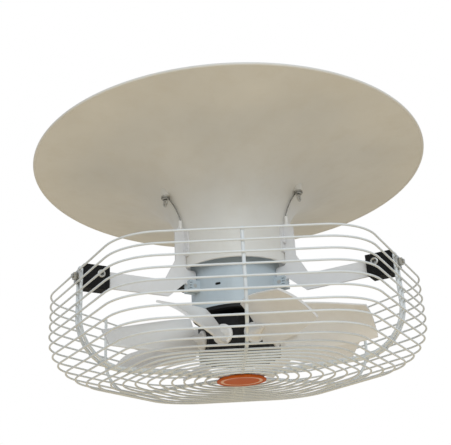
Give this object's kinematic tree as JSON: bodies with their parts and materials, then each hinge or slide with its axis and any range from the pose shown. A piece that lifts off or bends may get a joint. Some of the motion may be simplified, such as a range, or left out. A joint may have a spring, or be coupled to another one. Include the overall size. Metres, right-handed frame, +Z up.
{
  "type": "vertical circulation fan",
  "caption": "Ceiling-hung circulation fan: a bladed rotor in a wire guard draws air up against a trumpet-shaped deflector cone that spreads it sideways",
  "frame": {"origin": "on the fan's vertical axis, at the height of the bores of the three hanger eyes", "axes": "+Z up along the axis, towards the cone; -Y faces the viewer, along the front rib of the guard; +X to the right"},
  "size_m": [0.644, 0.644, 0.3474],
  "materials": {
    "white_shell": "white reinforced plastic with a fine satin skin",
    "white_paint": "white powder coat",
    "zinc": "zinc plated",
    "wire_steel": "drawn steel wire",
    "white_plastic": "moulded, satin",
    "black_plastic": "moulded, matt",
    "guard_paint": "off-white coated wire",
    "badge_orange": "moulded, semi-gloss, plain",
    "motor_paint": "light blue-grey paint",
    "black_paint": "black paint on cast metal",
    "core_steel": "laminated steel",
    "copper": "varnished copper",
    "bearing_steel": "ground steel"
  },
  "bodies": {
    "frame": {"badge_cap": "badge_orange", "badge_screw": "zinc", "bearing_outer_rings": "bearing_steel", "block_rivets": "zinc", "bracket_left": "white_paint", "bracket_rear": "white_paint", "bracket_right": "white_paint", "cable_gland": "black_plastic", "clamp_blocks": "black_plastic", "cone_nuts": "zinc", "cone_screws": "white_paint", "deflector_cone": "white_shell", "gland_nut": "black_plastic", "guard_centre_plate": "guard_paint", "guard_clamp_nuts": "zinc", "guard_clamp_plates": "zinc", "guard_clamp_studs": "zinc", "guard_floor_rings": "guard_paint", "guard_hairpin_ribs": "guard_paint", "guard_lower_wall_rings": "guard_paint", "guard_shoulder_rings": "guard_paint", "guard_single_ribs": "guard_paint", "guard_wall_ring_1": "guard_paint", "guard_wall_ring_2": "guard_paint", "guard_wall_ring_3": "guard_paint", "hanger_eye_nuts": "zinc", "hanger_eyebolts": "zinc", "hanger_lock_nuts": "zinc", "hanger_washers": "zinc", "lid_screws": "zinc", "lower_end_shield": "black_paint", "lug_bolts": "zinc", "motor_housing": "motor_paint", "shield_screws": "zinc", "stator_core": "core_steel", "stator_windings": "copper", "terminal_block": "black_plastic", "terminal_box": "black_plastic", "terminal_box_lid": "black_plastic", "tether_ferrules": "white_plastic", "tether_wires": "wire_steel", "upper_end_shield": "black_paint"},
    "impeller": {"motor_shaft": "bearing_steel", "rotor_core": "core_steel", "bearing_inner_rings": "bearing_steel", "bearing_balls": "bearing_steel", "hub_upper_half": "black_paint", "hub_lower_half": "black_paint", "hub_bolts": "zinc", "shaft_key": "bearing_steel", "hub_washer": "zinc", "hub_retaining_screw": "zinc", "blade_1": "white_plastic", "blade_2": "white_plastic", "blade_3": "white_plastic", "blade_4": "white_plastic", "blade_5": "white_plastic", "blade_6": "white_plastic", "blade_7": "white_plastic", "blade_8": "white_plastic"}
  },
  "joints": [
    {"name": "impeller_spin", "type": "hinge", "parent": "frame", "child": "impeller", "pos_m": [0, 0, -0.26575], "axis": [0, 0, 1], "continuous": true}
  ]
}
